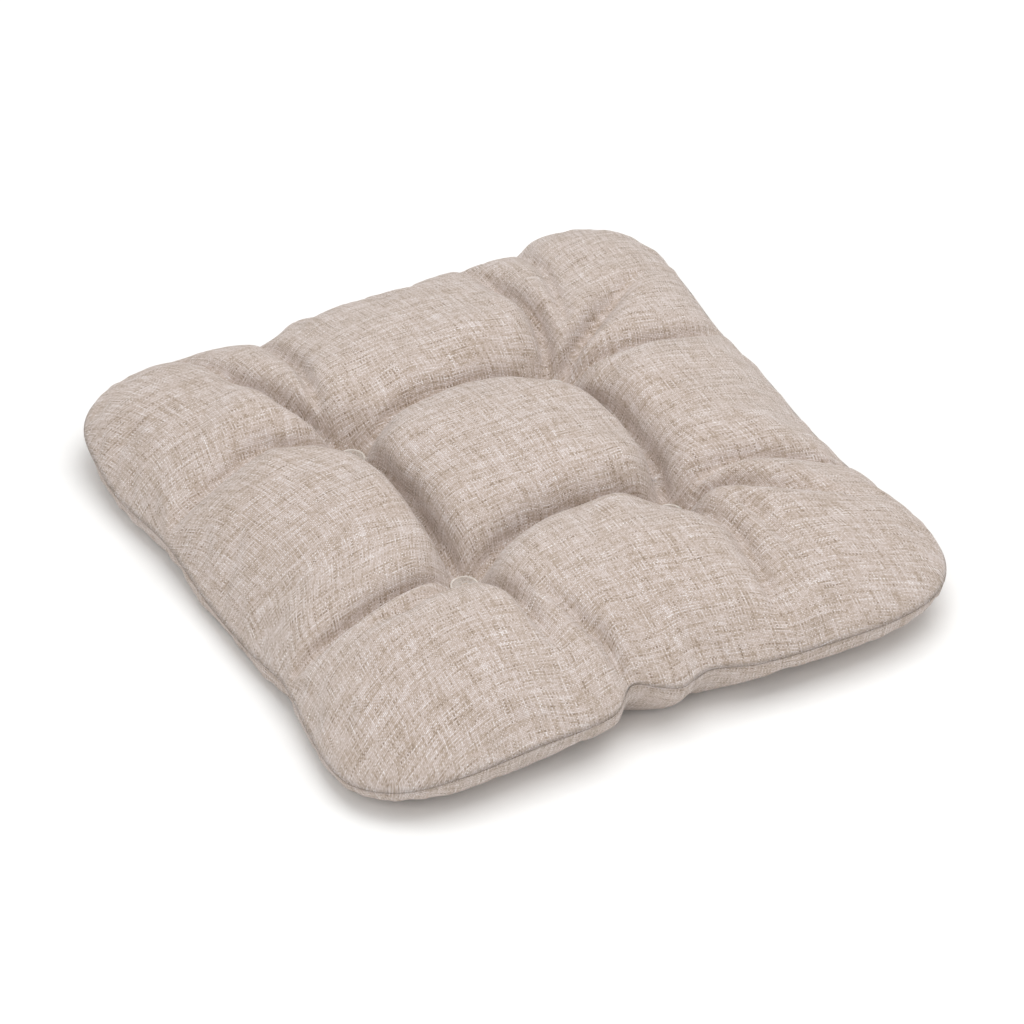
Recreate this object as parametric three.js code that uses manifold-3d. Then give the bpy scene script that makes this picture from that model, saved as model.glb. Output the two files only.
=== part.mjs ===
// Tufted chair seat pad: a square two-panel fabric cover over a loose fibre filling, sewn round its edge and
// pinched at four tufts, each a twine loop between a clear button on top and one underneath.
// Millimetres, +Z up. The origin is the middle of the underside, on the seat that the pad lies on.
// +X is to the sitter's right, +Y is towards the backrest.
import * as THREE from "three";
import { mergeGeometries, mergeVertices } from "three/addons/utils/BufferGeometryUtils.js";
import Module from "manifold-3d";

const wasm = await Module();
wasm.setup();

// Driving dimensions: the whole pad
const PAD_WIDTH = 400; // along X
const PAD_DEPTH = 415; // along Y
const CORNER_EXPONENT = 6.4; // of the superellipse outline: higher makes squarer corners
const SEAM_HEIGHT = 30; // of the edge seam above the seat
const TOP_RISE = 45; // of the middle pillow above the edge seam
const UNDERSIDE_DROP = 44; // of the stuffed underside below the seam, before the seat flattens it
const EDGE_FULLNESS = 2.2; // higher keeps the pad thick nearer to its edge
const SIDE_PULL = 7; // how far the sides draw in between the corners
const TUFT_LINE_PULL = 3; // how much further a side draws in where a tuft line meets it
const CUT_MARGIN = 6.9; // of the panels' outline outside the finished pad's, taken up where the sides draw in

// Driving dimensions: the cover
const FABRIC_THICKNESS = 0.8;
const SEAM_ALLOWANCE = 8; // width of fabric turned in at the edge
const FILLING_SETBACK = 2.5; // of the filling's edge behind the cover, where the turned-in fabric folds
const OPENING_LENGTH = 150; // of the filling opening in the back edge, closed by hand
const OPENING_CENTRE_X = 60;

// Driving dimensions: the tufts
const TUFT_SPACING_X = 134;
const TUFT_SPACING_Y = 134;
const TUFT_TOP_HEIGHT = 36; // of the pinched top fabric above the seat
const TUFT_UNDERSIDE_HEIGHT = 16; // of the pinched bottom fabric above the seat
const TOP_SLOPE_WIDTH = 40; // over which the top fabric rises out of a tuft
const UNDERSIDE_SLOPE_WIDTH = 30; // over which the bottom fabric comes down to the seat
const CREASE_WIDTH = 13;
const TOP_CREASE_DEPTH = 14;
const UNDERSIDE_CREASE_DEPTH = 20;

// Driving dimensions: buttons and threads
const BUTTON_DIAMETER = 16.5;
const BUTTON_FLOOR = 1.8;
const BUTTON_RIM_RISE = 1;
const BUTTON_RIM_WIDTH = 1.3;
const BUTTON_HOLE_SPACING = 4.6;
const TWINE_DIAMETER = 1.2;
const TWINE_ARCH_HEIGHT = 1.4; // of the twine's middle line where it bridges the button's holes
const KNOT_DIAMETER = 3.4;
const SEAM_THREAD_DIAMETER = 0.5;
const CLOSING_THREAD_DIAMETER = 0.7;
const CLOSING_STITCH_LENGTH = 6;
const CLOSING_STITCH_BITE = 1.6; // how far a closing stitch reaches into the seam

// Clearances
const FABRIC_CLEARANCE = 0.3; // between a fabric face and what lies on it
const THREAD_CLEARANCE = 0.3; // round a thread in the fabric and filling, or in its seam
const BUTTON_HOLE_CLEARANCE = 0.45; // round the twine in a button's hole
const TUFT_FLAT_MARGIN = 3; // of level fabric round a button
const SEAM_END_GAP = 2; // along the edge, between the two seam threads

// Fineness of the facets
const MIDDLE_STEPS = 6; // from the pad's middle to a tuft line
const OUTER_STEPS = 9; // from a tuft line to the edge
const BUTTON_FACETS = 18;
const HOLE_FACETS = 8;
const THREAD_FACETS = 6;
const SEAM_STEP = 16; // along the edge seam thread

const HALF_STEPS = MIDDLE_STEPS + OUTER_STEPS;
const GRID_STEPS = 2 * HALF_STEPS;
const RING_STEPS = 4 * GRID_STEPS;
const HALF_WIDTH = PAD_WIDTH / 2 + CUT_MARGIN;
const HALF_DEPTH = PAD_DEPTH / 2 + CUT_MARGIN;
const TUFT_X = TUFT_SPACING_X / 2;
const TUFT_Y = TUFT_SPACING_Y / 2;
const TUFT_FLAT = BUTTON_DIAMETER / 2 + TUFT_FLAT_MARGIN;
const TWINE_RADIUS = TWINE_DIAMETER / 2;
const NEEDLE_HOLE_RADIUS = TWINE_RADIUS + THREAD_CLEARANCE;
const BUTTON_HOLE_RADIUS = TWINE_RADIUS + BUTTON_HOLE_CLEARANCE;
const THICKEST_SEAM_THREAD = Math.max(SEAM_THREAD_DIAMETER, CLOSING_THREAD_DIAMETER);
const SEAM_GAP = THICKEST_SEAM_THREAD + 2 * THREAD_CLEARANCE;
const ALLOWANCE_OUTER = SEAM_GAP / 2; // outer faces of the turned-in fabric, above and below the seam
const ALLOWANCE_INNER = ALLOWANCE_OUTER + FABRIC_THICKNESS;
const FILL_LIP = ALLOWANCE_INNER + FABRIC_CLEARANCE;
const FILL_INSET = FABRIC_THICKNESS + FABRIC_CLEARANCE;

const OATMEAL_LINEN = new THREE.MeshStandardMaterial({ color: 0xcbbbb2, roughness: 0.92, metalness: 0 });
const WHITE_FIBRE = new THREE.MeshStandardMaterial({ color: 0xf2f1ec, roughness: 1, metalness: 0 });
const CLEAR_BUTTON = new THREE.MeshStandardMaterial({ color: 0xe6e0d8, roughness: 0.2, metalness: 0 });
const BEIGE_THREAD = new THREE.MeshStandardMaterial({ color: 0xc4b5a8, roughness: 0.8, metalness: 0 });

const pad = new THREE.Group();

function addPiece(name, geometry, material) {
  const piece = new THREE.Mesh(geometry, material);
  piece.name = name;
  pad.add(piece);
}

// Closed geometry to manifold solid, and back.
function solidOf(geometry) {
  geometry.deleteAttribute("normal");
  geometry.deleteAttribute("uv");
  const merged = mergeVertices(geometry, 1e-4);
  const vertProperties = new Float32Array(merged.attributes.position.array);
  const triVerts = new Uint32Array(merged.index.array);
  return new wasm.Manifold(new wasm.Mesh({ numProp: 3, vertProperties, triVerts }));
}

function geometryOf(solid) {
  const mesh = solid.getMesh();
  const geometry = new THREE.BufferGeometry();
  geometry.setAttribute("position", new THREE.BufferAttribute(new Float32Array(mesh.vertProperties), 3));
  geometry.setIndex(new THREE.BufferAttribute(new Uint32Array(mesh.triVerts), 1));
  geometry.computeVertexNormals();
  return geometry;
}

// Plan of the pad

// Grid line number, from 0 at the pad's middle, to a distance from the middle. Lines fall on the tuft line,
// either side of it at the edge of the level fabric, and closer together towards the edge of the pad.
function gridDistance(step, tuftLine, halfSize) {
  const count = Math.abs(step);
  let distance;
  if (count < MIDDLE_STEPS) {
    distance = ((tuftLine - TUFT_FLAT) * count) / (MIDDLE_STEPS - 1);
  } else if (count === MIDDLE_STEPS) {
    distance = tuftLine;
  } else {
    const share = (count - MIDDLE_STEPS - 1) / (OUTER_STEPS - 1);
    const flatEnd = tuftLine + TUFT_FLAT;
    distance = flatEnd + (halfSize - flatEnd) * Math.sin((share * Math.PI) / 2);
  }
  return Math.sign(step) * distance;
}

function squareNorm(nx, ny) {
  return (Math.abs(nx) ** CORNER_EXPONENT + Math.abs(ny) ** CORNER_EXPONENT) ** (1 / CORNER_EXPONENT);
}

// Bell-shaped weight that is 1 on a tuft line and fades to either side of it.
function onLine(distance, tuftLine) {
  return Math.exp(-(((Math.abs(distance) - tuftLine) / CREASE_WIDTH) ** 2));
}

// How far a side draws in, at a share of the way from its middle to its corner.
function sidePull(share, distance, tuftLine) {
  return SIDE_PULL * (1 - share ** 4) + TUFT_LINE_PULL * onLine(distance, tuftLine);
}

// Plan place of a grid point. The square grid is rounded towards the edge, and the sides draw in between the
// corners. "reach" is 0 in the middle of the pad and 1 at its edge.
function planAt(column, row) {
  const gridX = gridDistance(column, TUFT_X, HALF_WIDTH);
  const gridY = gridDistance(row, TUFT_Y, HALF_DEPTH);
  const nx = gridX / HALF_WIDTH;
  const ny = gridY / HALF_DEPTH;
  const ring = Math.max(Math.abs(nx), Math.abs(ny));
  const norm = squareNorm(nx, ny);
  const rounding = norm > 0 ? THREE.MathUtils.lerp(1, ring / norm, ring ** 3) : 1;
  const nearEdge = ring ** 4;
  const sideShare = norm > 0 ? (Math.abs(nx) / norm) ** CORNER_EXPONENT : 0;
  const pullX = nearEdge * sideShare * sidePull(ny, gridY, TUFT_Y);
  const pullY = nearEdge * (1 - sideShare) * sidePull(nx, gridX, TUFT_X);
  const x = gridX * rounding - Math.sign(nx) * pullX;
  const y = gridY * rounding - Math.sign(ny) * pullY;
  return { x, y, reach: Math.min(1, norm * rounding) };
}

// Level direction out of the pad's edge at a place in plan.
function edgeNormal(x, y) {
  const power = CORNER_EXPONENT - 1;
  const gradX = (Math.sign(x) * Math.abs(x / HALF_WIDTH) ** power) / HALF_WIDTH;
  const gradY = (Math.sign(y) * Math.abs(y / HALF_DEPTH) ** power) / HALF_DEPTH;
  return new THREE.Vector3(gradX, gradY, 0).normalize();
}

// Heights of the two panels

function stuffing(reach) {
  return Math.sqrt(1 - reach ** EDGE_FULLNESS);
}

// 1 on the level fabric under a button, fading to 0 over the slope round it.
function tuftPinch(x, y, slopeWidth) {
  const squareness = 6;
  const dx = Math.abs(Math.abs(x) - TUFT_X);
  const dy = Math.abs(Math.abs(y) - TUFT_Y);
  const away = (dx ** squareness + dy ** squareness) ** (1 / squareness);
  const levelEnd = TUFT_FLAT * 2 ** (1 / squareness);
  return 1 - THREE.MathUtils.smoothstep(away, levelEnd, levelEnd + slopeWidth);
}

function creases(x, y) {
  return onLine(x, TUFT_X) + onLine(y, TUFT_Y);
}

function topHeight({ x, y, reach }) {
  const rise = stuffing(reach) * (TOP_RISE - TOP_CREASE_DEPTH * creases(x, y));
  const puffed = SEAM_HEIGHT + ALLOWANCE_OUTER + rise;
  return THREE.MathUtils.lerp(puffed, TUFT_TOP_HEIGHT, tuftPinch(x, y, TOP_SLOPE_WIDTH));
}

function undersideHeight({ x, y, reach }) {
  const drop = stuffing(reach) * (UNDERSIDE_DROP - UNDERSIDE_CREASE_DEPTH * creases(x, y));
  const resting = Math.max(0, SEAM_HEIGHT - ALLOWANCE_OUTER - drop);
  return THREE.MathUtils.lerp(resting, TUFT_UNDERSIDE_HEIGHT, tuftPinch(x, y, UNDERSIDE_SLOPE_WIDTH));
}

// Panels as grids of points

// Outer face of a panel, as rows of points, row by row from -Y and point by point from -X.
function outerFace(heightAt) {
  const rows = [];
  for (let row = -HALF_STEPS; row <= HALF_STEPS; row += 1) {
    const points = [];
    for (let column = -HALF_STEPS; column <= HALF_STEPS; column += 1) {
      const place = planAt(column, row);
      points.push(new THREE.Vector3(place.x, place.y, heightAt(place)));
    }
    rows.push(points);
  }
  return rows;
}

function isEdge(column, row) {
  return column === 0 || row === 0 || column === GRID_STEPS || row === GRID_STEPS;
}

// The face moved into the pad by a distance, and its edge by another. "side" is 1 for the top panel and -1
// for the bottom one, and "lip" is how far above or below the seam the moved edge lies.
function insetFace(face, distance, edgeDistance, side, lip) {
  return face.map((points, row) =>
    points.map((point, column) => {
      if (isEdge(column, row)) {
        const edgePoint = point.clone().addScaledVector(edgeNormal(point.x, point.y), -edgeDistance);
        return edgePoint.setZ(SEAM_HEIGHT + side * lip);
      }
      const along = face[row][column + 1].clone().sub(face[row][column - 1]);
      const across = face[row + 1][column].clone().sub(face[row - 1][column]);
      const normal = along.cross(across).normalize();
      return point.clone().addScaledVector(normal, -side * distance);
    }),
  );
}

// Points round the edge of a face, anticlockwise from above, with the first point repeated at the end.
function ringOf(face) {
  const ring = [];
  for (let step = 0; step <= RING_STEPS; step += 1) {
    const side = Math.floor(step / GRID_STEPS) % 4;
    const along = step % GRID_STEPS;
    const back = GRID_STEPS - along;
    const places = [
      [0, along],
      [along, GRID_STEPS],
      [GRID_STEPS, back],
      [back, 0],
    ];
    const [row, column] = places[side];
    ring.push(face[row][column]);
  }
  return ring;
}

// A level ring inside the edge of the pad, at a height above the seat.
function insetRing(face, inset, height) {
  return ringOf(face).map((point) => {
    const moved = point.clone().addScaledVector(edgeNormal(point.x, point.y), -inset);
    return moved.setZ(height);
  });
}

function sheetGeometry(face, facesUp) {
  const sheet = new THREE.PlaneGeometry(1, 1, GRID_STEPS, GRID_STEPS);
  const position = sheet.attributes.position;
  for (let index = 0; index < position.count; index += 1) {
    const row = Math.floor(index / (GRID_STEPS + 1));
    const column = index % (GRID_STEPS + 1);
    const point = face[GRID_STEPS - row][column];
    position.setXYZ(index, point.x, point.y, point.z);
  }
  return facesUp ? sheet : turnedOver(sheet);
}

function turnedOver(geometry) {
  const corners = geometry.index.array;
  for (let index = 0; index < corners.length; index += 3) {
    [corners[index], corners[index + 1]] = [corners[index + 1], corners[index]];
  }
  return geometry;
}

// The wall that joins an upper ring of points to a lower one, through the rings between.
function wallGeometry(rings) {
  const wall = new THREE.PlaneGeometry(1, 1, RING_STEPS, rings.length - 1);
  const position = wall.attributes.position;
  for (let index = 0; index < position.count; index += 1) {
    const point = rings[Math.floor(index / (RING_STEPS + 1))][index % (RING_STEPS + 1)];
    position.setXYZ(index, point.x, point.y, point.z);
  }
  return wall;
}

// A closed solid between an upper and a lower face, whose edges are joined through the rings between.
function layerSolid(upperFace, lowerFace, ringsBetween) {
  const rings = [ringOf(upperFace), ...ringsBetween, ringOf(lowerFace)];
  const parts = [sheetGeometry(upperFace, true), sheetGeometry(lowerFace, false), wallGeometry(rings)];
  return solidOf(mergeGeometries(parts));
}

// Tuft places and their needle holes

const TUFTS = [
  { name: "front_left", x: -TUFT_X, y: -TUFT_Y },
  { name: "front_right", x: TUFT_X, y: -TUFT_Y },
  { name: "back_left", x: -TUFT_X, y: TUFT_Y },
  { name: "back_right", x: TUFT_X, y: TUFT_Y },
];
const TWINE_SIDES = [-BUTTON_HOLE_SPACING / 2, BUTTON_HOLE_SPACING / 2];
const PIERCE_HEIGHT = 2 * (SEAM_HEIGHT + TOP_RISE);

function pierced(solid, x, y, holeRadius) {
  return TWINE_SIDES.reduce((cut, side) => {
    const hole = new THREE.CylinderGeometry(holeRadius, holeRadius, PIERCE_HEIGHT, HOLE_FACETS);
    hole.rotateX(Math.PI / 2);
    hole.translate(x + side, y, 0);
    return cut.subtract(solidOf(hole));
  }, solid);
}

function piercedAtTufts(solid) {
  return TUFTS.reduce((cut, tuft) => pierced(cut, tuft.x, tuft.y, NEEDLE_HOLE_RADIUS), solid);
}

// Cover panels and filling

const topFace = outerFace(topHeight);
const undersideFace = outerFace(undersideHeight);

function allowanceRings(outerZ, innerZ) {
  return [insetRing(topFace, SEAM_ALLOWANCE, outerZ), insetRing(topFace, SEAM_ALLOWANCE, innerZ)];
}

function addTopPanel() {
  const innerFace = insetFace(topFace, FABRIC_THICKNESS, FABRIC_THICKNESS, 1, ALLOWANCE_INNER);
  const turnedIn = allowanceRings(SEAM_HEIGHT + ALLOWANCE_OUTER, SEAM_HEIGHT + ALLOWANCE_INNER);
  const panel = layerSolid(topFace, innerFace, turnedIn);
  addPiece("top_cover_panel", geometryOf(piercedAtTufts(panel)), OATMEAL_LINEN);
}

function addBottomPanel() {
  const innerFace = insetFace(undersideFace, FABRIC_THICKNESS, FABRIC_THICKNESS, -1, ALLOWANCE_INNER);
  const turnedIn = allowanceRings(SEAM_HEIGHT - ALLOWANCE_INNER, SEAM_HEIGHT - ALLOWANCE_OUTER);
  const panel = layerSolid(innerFace, undersideFace, turnedIn);
  addPiece("bottom_cover_panel", geometryOf(piercedAtTufts(panel)), OATMEAL_LINEN);
}

function addFilling() {
  const edgeInset = FABRIC_THICKNESS + FILLING_SETBACK;
  const upperFace = insetFace(topFace, FILL_INSET, edgeInset, 1, FILL_LIP);
  const lowerFace = insetFace(undersideFace, FILL_INSET, edgeInset, -1, FILL_LIP);
  const groove = [
    insetRing(topFace, SEAM_ALLOWANCE + FABRIC_CLEARANCE, SEAM_HEIGHT + FILL_LIP),
    insetRing(topFace, SEAM_ALLOWANCE + FABRIC_CLEARANCE, SEAM_HEIGHT - FILL_LIP),
  ];
  const filling = layerSolid(upperFace, lowerFace, groove);
  addPiece("fibre_filling", geometryOf(piercedAtTufts(filling)), WHITE_FIBRE);
}

// Buttons and twine

// Underside at height 0, rim upwards.
function buttonSolid() {
  const radius = BUTTON_DIAMETER / 2;
  const corner = 0.7;
  const crest = BUTTON_FLOOR + BUTTON_RIM_RISE;
  const profile = [
    [0, 0],
    [radius - corner, 0],
    [radius, corner],
    [radius, crest - corner / 2],
    [radius - corner / 2, crest],
    [radius - BUTTON_RIM_WIDTH, crest],
    [radius - BUTTON_RIM_WIDTH - corner, BUTTON_FLOOR],
    [0, BUTTON_FLOOR],
  ].map(([r, z]) => new THREE.Vector2(r, z));
  const turned = new THREE.LatheGeometry(profile, BUTTON_FACETS);
  turned.rotateX(Math.PI / 2);
  return pierced(solidOf(turned), 0, 0, BUTTON_HOLE_RADIUS);
}

const TOP_BUTTON_BASE = TUFT_TOP_HEIGHT + FABRIC_CLEARANCE;
const BOTTOM_BUTTON_BASE = TUFT_UNDERSIDE_HEIGHT - FABRIC_CLEARANCE;

function addButtons() {
  for (const tuft of TUFTS) {
    const topButton = geometryOf(buttonSolid());
    topButton.translate(tuft.x, tuft.y, TOP_BUTTON_BASE);
    addPiece(`top_button_${tuft.name}`, topButton, CLEAR_BUTTON);
    const bottomButton = geometryOf(buttonSolid());
    bottomButton.rotateX(Math.PI);
    bottomButton.translate(tuft.x, tuft.y, BOTTOM_BUTTON_BASE);
    addPiece(`bottom_button_${tuft.name}`, bottomButton, CLEAR_BUTTON);
  }
}

function roundSection(diameter) {
  const section = new THREE.Shape();
  for (let facet = 0; facet < THREAD_FACETS; facet += 1) {
    const angle = (facet / THREAD_FACETS) * 2 * Math.PI;
    const x = (Math.cos(angle) * diameter) / 2;
    const y = (Math.sin(angle) * diameter) / 2;
    if (facet === 0) {
      section.moveTo(x, y);
    } else {
      section.lineTo(x, y);
    }
  }
  return section;
}

// A smooth route whose sections fall on its own points, instead of at equal distances.
class ThreadRoute extends THREE.CatmullRomCurve3 {
  getUtoTmapping(share) {
    return share;
  }
}

function threadGeometry(points, diameter) {
  const extrudePath = new ThreadRoute(points);
  const steps = points.length - 1;
  return new THREE.ExtrudeGeometry(roundSection(diameter), { steps, bevelEnabled: false, extrudePath });
}

// Half an ellipse from one button hole to the other, at a height and rising by a height.
function archPoints(from, to, height, rise) {
  const arcSteps = 6;
  const points = [];
  for (let step = 0; step <= arcSteps; step += 1) {
    const angle = (step / arcSteps) * Math.PI;
    const x = THREE.MathUtils.lerp(from, to, (1 - Math.cos(angle)) / 2);
    points.push(new THREE.Vector3(x, 0, height + rise * Math.sin(angle)));
  }
  return points;
}

// One strand, from inside the knot up through both buttons, over the top button's bridge and back down.
function twineSolid() {
  const [left, right] = TWINE_SIDES;
  const topBridge = TOP_BUTTON_BASE + BUTTON_FLOOR;
  const bottomBridge = BOTTOM_BUTTON_BASE - BUTTON_FLOOR;
  const knotDrop = KNOT_DIAMETER / 2 + THREAD_CLEARANCE;
  const under = archPoints(right, left, bottomBridge, -knotDrop);
  const middle = (under.length - 1) / 2;
  const legSteps = 3;
  const rising = [];
  for (let step = 1; step < legSteps; step += 1) {
    rising.push(new THREE.Vector3(left, 0, THREE.MathUtils.lerp(bottomBridge, topBridge, step / legSteps)));
  }
  const falling = rising.map((point) => new THREE.Vector3(right, 0, point.z)).reverse();
  const knotGap = TWINE_RADIUS / 2;
  const knotHeight = bottomBridge - knotDrop;
  const points = [
    new THREE.Vector3(-knotGap, 0, knotHeight),
    ...under.slice(middle + 1),
    ...rising,
    ...archPoints(left, right, topBridge, TWINE_ARCH_HEIGHT),
    ...falling,
    ...under.slice(0, middle),
    new THREE.Vector3(knotGap, 0, knotHeight),
  ];
  const knot = new THREE.SphereGeometry(KNOT_DIAMETER / 2, HOLE_FACETS, HOLE_FACETS / 2);
  knot.rotateX(Math.PI / 2);
  knot.translate(0, 0, knotHeight);
  return solidOf(threadGeometry(points, TWINE_DIAMETER)).add(solidOf(knot));
}

function addTwine() {
  for (const tuft of TUFTS) {
    const twine = geometryOf(twineSolid());
    twine.translate(tuft.x, tuft.y, 0);
    addPiece(`tuft_twine_${tuft.name}`, twine, BEIGE_THREAD);
  }
}

// Edge seam

// A place along the pad's back edge, at an X and a distance in from the edge.
function backEdgePoint(x, inset) {
  const backShare = 1 - Math.abs(x / HALF_WIDTH) ** CORNER_EXPONENT;
  const rounding = backShare ** (1 / CORNER_EXPONENT);
  const gridX = x / rounding;
  const drawnIn = backShare * sidePull(gridX / HALF_WIDTH, gridX, TUFT_X);
  return new THREE.Vector3(x, HALF_DEPTH * rounding - drawnIn - inset, SEAM_HEIGHT);
}

// Machine-sewn lockstitch: from one end of the filling opening, round the pad, to the other end.
function addEdgeSeam() {
  const inset = THREAD_CLEARANCE + SEAM_THREAD_DIAMETER;
  const start = OPENING_CENTRE_X + OPENING_LENGTH / 2;
  const end = OPENING_CENTRE_X - OPENING_LENGTH / 2;
  const ring = insetRing(topFace, inset, SEAM_HEIGHT);
  const round = new THREE.CatmullRomCurve3(ring.slice(0, -1), true);
  const samples = Math.round(round.getLength() / SEAM_STEP);
  const isBack = (point) => point.y > HALF_DEPTH / 2;
  const inOpening = (point) => isBack(point) && point.x > end && point.x < start;
  const all = round.getSpacedPoints(samples).slice(0, -1);
  const first = all.findIndex((point, index) => inOpening(point) && !inOpening(all[(index + 1) % samples]));
  const ordered = [...all.slice(first + 1), ...all.slice(0, first + 1)];
  const sewn = ordered.filter((point) => !inOpening(point));
  const closeTo = (point, x) => isBack(point) && Math.abs(point.x - x) < SEAM_STEP / 2;
  const kept = sewn.filter((point) => !closeTo(point, start) && !closeTo(point, end));
  const ends = [backEdgePoint(end, inset), backEdgePoint(start, inset)];
  const points = [ends[0], ...kept, ends[1]];
  addPiece("edge_seam_thread", threadGeometry(points, SEAM_THREAD_DIAMETER), BEIGE_THREAD);
}

// Hand-sewn ladder stitch across the filling opening.
function addClosingSeam() {
  const length = OPENING_LENGTH - 2 * SEAM_END_GAP;
  const stitches = Math.round(length / CLOSING_STITCH_LENGTH);
  const shallow = THREAD_CLEARANCE + CLOSING_THREAD_DIAMETER;
  const points = [];
  for (let stitch = 0; stitch <= stitches; stitch += 1) {
    const x = OPENING_CENTRE_X - length / 2 + (length * stitch) / stitches;
    const inset = shallow + (stitch % 2) * CLOSING_STITCH_BITE;
    points.push(backEdgePoint(x, inset));
  }
  addPiece("closing_seam_thread", threadGeometry(points, CLOSING_THREAD_DIAMETER), BEIGE_THREAD);
}

addTopPanel();
addBottomPanel();
addFilling();
addButtons();
addTwine();
addEdgeSeam();
addClosingSeam();

export default pad;
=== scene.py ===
"""A square tufted chair seat pad in linen-look fabric over loose fibre filling."""

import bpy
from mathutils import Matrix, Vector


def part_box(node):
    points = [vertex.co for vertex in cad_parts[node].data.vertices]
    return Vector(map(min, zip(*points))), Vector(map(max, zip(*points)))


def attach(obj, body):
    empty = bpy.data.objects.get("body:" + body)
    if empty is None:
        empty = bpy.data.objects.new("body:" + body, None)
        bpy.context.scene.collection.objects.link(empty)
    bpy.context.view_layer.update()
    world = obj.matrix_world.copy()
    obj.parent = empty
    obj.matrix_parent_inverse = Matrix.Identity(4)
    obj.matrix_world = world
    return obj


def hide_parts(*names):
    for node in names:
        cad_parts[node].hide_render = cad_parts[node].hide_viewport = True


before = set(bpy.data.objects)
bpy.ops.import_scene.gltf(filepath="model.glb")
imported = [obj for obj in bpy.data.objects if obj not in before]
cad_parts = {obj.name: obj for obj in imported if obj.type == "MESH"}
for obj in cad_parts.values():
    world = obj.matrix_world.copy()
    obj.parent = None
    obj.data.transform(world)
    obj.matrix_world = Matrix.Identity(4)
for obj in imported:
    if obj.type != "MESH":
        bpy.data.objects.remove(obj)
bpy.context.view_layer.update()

import math

import bmesh
import bpy
import numpy as np
from mathutils import Matrix, Vector

MM = 0.001

# ---------------------------------------------------------------- sizes taken from the frame
pad_low, pad_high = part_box("top_cover_panel")
HALF_WIDTH = (pad_high[0] - pad_low[0]) / 2
HALF_DEPTH = (pad_high[1] - pad_low[1]) / 2
TUFTS = ("front_left", "front_right", "back_left", "back_right")


def tuft_place(name):
    """Middle of a tuft in plan, and the heights of the fabric it pinches on top and underneath."""
    low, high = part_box("top_button_" + name)
    under_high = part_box("bottom_button_" + name)[1]
    return ((low[0] + high[0]) / 2, (low[1] + high[1]) / 2, low[2], under_high[2])


TUFT_PLACES = {name: tuft_place(name) for name in TUFTS}

# ---------------------------------------------------------------- the cover's shape
CELLS = 100  # squares along each side of a cover panel
CORNER_EXPONENT = 6.4  # of the superellipse that the panels are cut to
SEAM_INSET = 1.0 * MM  # the seam sits this far inside the panels' bulge
FABRIC_THICKNESS = 0.8 * MM
SEAM_ALLOWANCE = 8 * MM
SEAM_GAP = 0.55 * MM  # between the turned-in edges, filled by the stitches
PINCH_RADIUS = 8.5 * MM  # fabric held flat under a button
PINCH_SPREAD = {  # how far each tuft's dip reaches past that
    "front_left": 13 * MM, "front_right": 8 * MM, "back_left": 9 * MM, "back_right": 11 * MM
}
PILLOW_RISE = 46 * MM  # of the filling above the seam
PILLOW_DROP = 46 * MM  # of the underside below it, before the seat flattens it
TOP_FULLNESS = (3.0, 0.7)  # how flat the pillows' top is, and how steeply it falls to the seam
UNDERSIDE_FULLNESS = (3.6, 0.6)
TOP_UNEVENNESS = 1.2 * MM
UNDERSIDE_UNEVENNESS = 1.0 * MM
UNEVENNESS_GRAIN = 6  # squares
SEAT_CLEARANCE = 0.6 * MM  # of the start form above the seat
PANEL_CLEARANCE = 0.7 * MM  # of the finished panel above the seat
SWELL_FRAMES = 24
SWELL_PRESSURE = 2.2
SPARE_FABRIC = -0.012  # shrinkage below nought: the cloth is this much larger than the start form
PUCKER_HEIGHT = 0.32 * MM
PUCKER_REACH = 7 * MM  # in from the seam
PUCKER_START = 4 * MM  # over which the puckers rise from the flat seam
SEAM_PUCKERS = ((60, 130), 7)  # waves once round the pad, and how many are laid over each other
BROAD_PUCKERS = ((25, 60), 5)
CREASE_LINE = 3.0  # mm, half width of the sharp line at the bottom of a fold
CREASE_SHARE = 0.18  # of the fold's depth
CREASE_FADE = 12 * MM  # over which a crease dies out at the seam
TUFT_FADE = 6 * MM  # and at a tuft
EVENING_PASSES = 60  # that even the weave out between neighbouring threads
FILLING_INSET = 2.4 * MM  # of the filling under the fabric
GROOVE_CLEARANCE = 1.5 * MM  # between the filling's groove and the turned-in edges
DIP_RISE = 0.5 * MM  # the most that the filling stands above the lowest place beside it
FILLING_CLEARANCE = 0.4 * MM  # of the filling above the bottom panel

# Round the seam, from the front left corner and on past the front right: how far along each
# side (-1 to 1), how far the side is pulled in (mm) and how high the seam lies (mm).
SEAM_LINE = (
    ((-1.0, -3.0, 20), (-0.75, -1.0, 27), (-0.5, 2.5, 30), (-0.3, 4.0, 30), (-0.21, 7.5, 31),
     (-0.14, 17.0, 37), (-0.06, 11.5, 33), (0.0, 8.0, 31), (0.1, 12.5, 32), (0.25, 6.5, 29),
     (0.5, 2.0, 29), (0.75, 0.0, 28)),
    ((-1.0, -1.0, 28), (-0.75, 0.5, 28), (-0.5, 6.5, 26), (-0.33, 13.5, 28), (-0.1, 12.5, 25),
     (0.15, 10.0, 25), (0.38, 12.0, 27), (0.6, 7.5, 29), (0.8, 1.0, 28)),
    ((-1.0, -1.5, 30), (-0.68, 0.0, 31), (-0.56, 9.5, 31), (-0.38, 8.0, 31), (-0.1, 3.5, 31),
     (0.15, 3.0, 31), (0.31, 10.0, 29), (0.5, 2.0, 30), (0.8, -3.5, 29)),
    ((-1.0, -1.0, 25), (-0.78, 6.0, 20), (-0.6, 9.0, 16), (-0.36, 13.5, 18), (-0.1, 11.5, 14),
     (0.15, 11.0, 14), (0.36, 12.0, 18), (0.55, 5.0, 15), (0.8, -4.0, 16)),
)

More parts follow.
